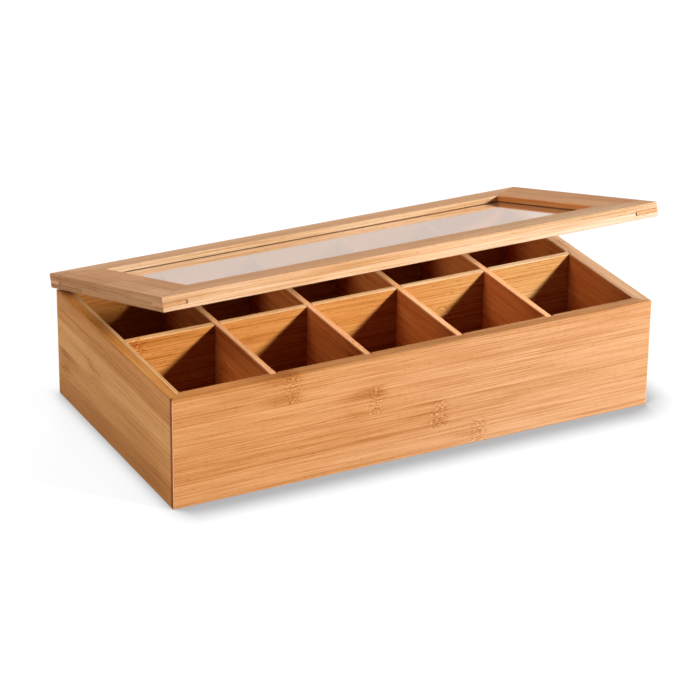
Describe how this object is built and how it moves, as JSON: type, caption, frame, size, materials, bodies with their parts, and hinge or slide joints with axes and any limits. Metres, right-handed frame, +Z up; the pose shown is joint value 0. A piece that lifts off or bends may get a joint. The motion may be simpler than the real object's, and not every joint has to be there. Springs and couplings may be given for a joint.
{
  "type": "tea bag organizer box",
  "caption": "Rectangular bamboo box divided into open tea bag compartments, with a back-hinged lid whose mitred frame holds a clear window.",
  "frame": {"origin": "middle of the box's underside, on the surface that it stands on", "axes": "+X along the width to the right, -Y towards the front, +Z up"},
  "size_m": [0.363, 0.1988, 0.1475],
  "materials": {
    "wall_bamboo": "clear satin lacquer over caramel bamboo",
    "panel_bamboo": "clear satin lacquer over bamboo plywood",
    "divider_bamboo": "clear satin lacquer over caramel bamboo",
    "lid_bamboo": "clear satin lacquer over caramel bamboo",
    "key_bamboo": "clear satin lacquer over darker bamboo",
    "clear_pane": "clear, polished",
    "hinge_brass": "satin brass",
    "screw_brass": "satin brass"
  },
  "bodies": {
    "box": {"front_wall": "wall_bamboo", "back_wall": "wall_bamboo", "left_wall": "wall_bamboo", "right_wall": "wall_bamboo", "bottom_panel": "panel_bamboo", "long_divider": "divider_bamboo", "cross_divider_1": "divider_bamboo", "cross_divider_2": "divider_bamboo", "cross_divider_3": "divider_bamboo", "cross_divider_4": "divider_bamboo", "left_hinge_box_leaf": "hinge_brass", "right_hinge_box_leaf": "hinge_brass", "left_hinge_pin": "hinge_brass", "right_hinge_pin": "hinge_brass", "box_leaf_screws": "screw_brass"},
    "lid": {"lid_front_rail": "lid_bamboo", "lid_back_rail": "lid_bamboo", "lid_left_stile": "lid_bamboo", "lid_right_stile": "lid_bamboo", "lid_key_front_left": "key_bamboo", "lid_key_front_right": "key_bamboo", "lid_key_back_right": "key_bamboo", "lid_key_back_left": "key_bamboo", "window_pane": "clear_pane", "left_hinge_lid_leaf": "hinge_brass", "right_hinge_lid_leaf": "hinge_brass", "lid_leaf_screws": "screw_brass"}
  },
  "joints": [
    {"name": "lid_hinge", "type": "hinge", "parent": "box", "child": "lid", "pos_m": [0, 0.0995, 0.0783], "axis": [-1, 0, 0], "range_deg": [-17.2, 82.8]}
  ]
}
